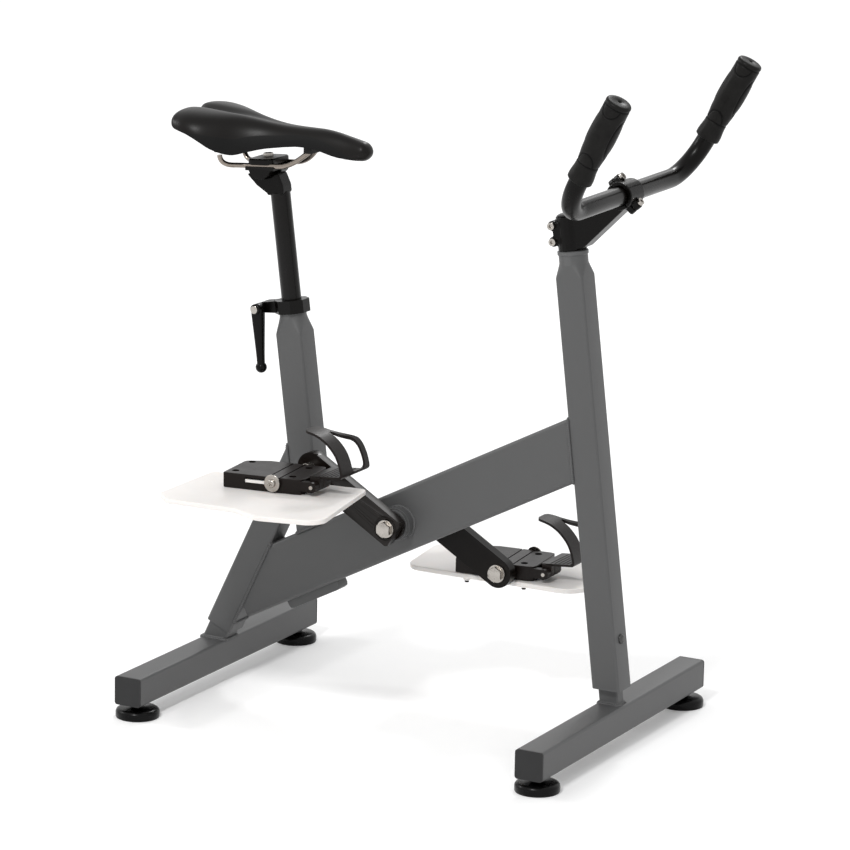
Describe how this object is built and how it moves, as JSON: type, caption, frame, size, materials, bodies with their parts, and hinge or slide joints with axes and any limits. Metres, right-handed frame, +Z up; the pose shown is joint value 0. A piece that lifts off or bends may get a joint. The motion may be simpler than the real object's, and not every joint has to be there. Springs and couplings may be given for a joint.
{
  "type": "aqua bike",
  "caption": "Free-standing underwater exercise bike with two base beams, levelling feet, cranks, toe-cage pedals, an adjustable saddle and a U-shaped handlebar.",
  "frame": {"origin": "centre of the bounding box in X and Y, on the floor under the feet", "axes": "+X forward, the way the rider faces; +Y to the rider's left; +Z up"},
  "size_m": [0.7542, 0.535, 0.9128],
  "materials": {
    "frame_paint": "satin grey powder coat",
    "tube_plug": "fine matte moulding",
    "foot_rubber": "matte moulded rubber",
    "stainless": "satin stainless steel",
    "bearing_cup": "black moulding",
    "crank_plastic": "semi-gloss black",
    "pedal_plastic": "black moulding with a fine grain",
    "white_nylon": "translucent white nylon",
    "black_anodised": "gloss black",
    "saddle_base": "matte black moulding",
    "saddle_cover": "smooth black synthetic leather",
    "grip_rubber": "moulded black rubber"
  },
  "bodies": {
    "frame": {"rear_beam": "frame_paint", "front_beam": "frame_paint", "rear_cap_right": "tube_plug", "rear_cap_left": "tube_plug", "front_cap_right": "tube_plug", "front_cap_left": "tube_plug", "rear_strut": "frame_paint", "strut_bolt": "stainless", "seat_tube": "frame_paint", "main_beam": "frame_paint", "front_column": "frame_paint", "column_bolt": "stainless", "bearing_cup_right": "bearing_cup", "bearing_cup_left": "bearing_cup", "crank_bearing_right": "stainless", "crank_bearing_left": "stainless", "seat_collar": "black_anodised", "collar_screw": "stainless", "steerer_tube": "black_anodised", "steerer_cap": "black_anodised", "stem": "black_anodised", "stem_face_plate": "black_anodised", "face_plate_bolt_lower": "stainless", "face_plate_bolt_upper": "stainless", "pinch_bolt_lower": "stainless", "pinch_bolt_upper": "stainless"},
    "crank": {"crank_spindle": "stainless", "crank_arm_right": "crank_plastic", "crank_arm_left": "crank_plastic", "crank_hub_bolt_right": "stainless", "crank_hub_bolt_left": "stainless", "pedal_axle_right": "stainless", "pedal_axle_left": "stainless", "axle_end_screw_right": "stainless", "axle_end_screw_left": "stainless"},
    "pedal_right": {"pedal_block_right": "pedal_plastic", "pedal_slide_right": "white_nylon", "foot_plate_right": "white_nylon", "cage_hinge_pin_right": "stainless"},
    "pedal_left": {"pedal_block_left": "pedal_plastic", "pedal_slide_left": "white_nylon", "foot_plate_left": "white_nylon", "cage_hinge_pin_left": "stainless"},
    "cage_right": {"toe_cage_right": "pedal_plastic"},
    "cage_left": {"toe_cage_left": "pedal_plastic"},
    "lever": {"clamp_lever": "black_anodised"},
    "post": {"seat_post": "black_anodised"},
    "saddle_clamp": {"clamp_cradle": "black_anodised", "clamp_plate": "black_anodised", "clamp_bolt": "stainless"},
    "saddle": {"saddle_rails": "stainless", "saddle_shell": "saddle_base", "saddle_cushion": "saddle_cover"},
    "bars": {"handlebar": "black_anodised", "grip_right": "grip_rubber", "grip_left": "grip_rubber"},
    "rear_foot_right": {"rear_foot_right": "foot_rubber"},
    "rear_foot_left": {"rear_foot_left": "foot_rubber"},
    "front_foot_right": {"front_foot_right": "foot_rubber"},
    "front_foot_left": {"front_foot_left": "foot_rubber"}
  },
  "joints": [
    {"name": "crank_spin", "type": "hinge", "parent": "frame", "child": "crank", "pos_m": [-0.03246, 0.01548, 0.2695], "axis": [0, 1, 0], "continuous": true},
    {"name": "pedal_right_spin", "type": "hinge", "parent": "crank", "child": "pedal_right", "pos_m": [-0.14794, -0.11252, 0.33943], "axis": [0, 1, 0], "continuous": true},
    {"name": "pedal_left_spin", "type": "hinge", "parent": "crank", "child": "pedal_left", "pos_m": [0.08301, 0.12248, 0.19957], "axis": [0, 1, 0], "continuous": true},
    {"name": "cage_right_swing", "type": "hinge", "parent": "pedal_right", "child": "cage_right", "pos_m": [-0.09293, -0.11252, 0.33901], "axis": [0, 1, 0], "range_deg": [-12, 20]},
    {"name": "cage_left_swing", "type": "hinge", "parent": "pedal_left", "child": "cage_left", "pos_m": [0.13801, 0.12248, 0.19857], "axis": [0, 1, 0], "range_deg": [-12, 20]},
    {"name": "lever_swing", "type": "hinge", "parent": "frame", "child": "lever", "pos_m": [-0.2569, -0.00552, 0.53877], "axis": [0, 1, 0], "range_deg": [-10, 165]},
    {"name": "post_slide", "type": "slide", "parent": "frame", "child": "post", "axis": [-0.1323, 0, 0.9912], "range_m": [-0.085, 0.07]},
    {"name": "saddle_tilt", "type": "hinge", "parent": "post", "child": "saddle_clamp", "pos_m": [-0.25457, 0.01548, 0.73601], "axis": [0, 1, 0], "range_deg": [-10, 10]},
    {"name": "saddle_slide", "type": "slide", "parent": "saddle_clamp", "child": "saddle", "axis": [0.9976, 0, 0.0698], "range_m": [-0.008, 0.014]},
    {"name": "bar_turn", "type": "hinge", "parent": "frame", "child": "bars", "pos_m": [0.27971, 0.01548, 0.74954], "axis": [0, 1, 0], "range_deg": [-20, 20]},
    {"name": "rear_foot_right_turn", "type": "hinge", "parent": "frame", "child": "rear_foot_right", "pos_m": [-0.32546, -0.20052, 0.01], "axis": [0, 0, 1], "continuous": true},
    {"name": "rear_foot_left_turn", "type": "hinge", "parent": "frame", "child": "rear_foot_left", "pos_m": [-0.32546, 0.23148, 0.01], "axis": [0, 0, 1], "continuous": true},
    {"name": "front_foot_right_turn", "type": "hinge", "parent": "frame", "child": "front_foot_right", "pos_m": [0.28454, -0.20652, 0.01], "axis": [0, 0, 1], "continuous": true},
    {"name": "front_foot_left_turn", "type": "hinge", "parent": "frame", "child": "front_foot_left", "pos_m": [0.28454, 0.23748, 0.01], "axis": [0, 0, 1], "continuous": true}
  ]
}
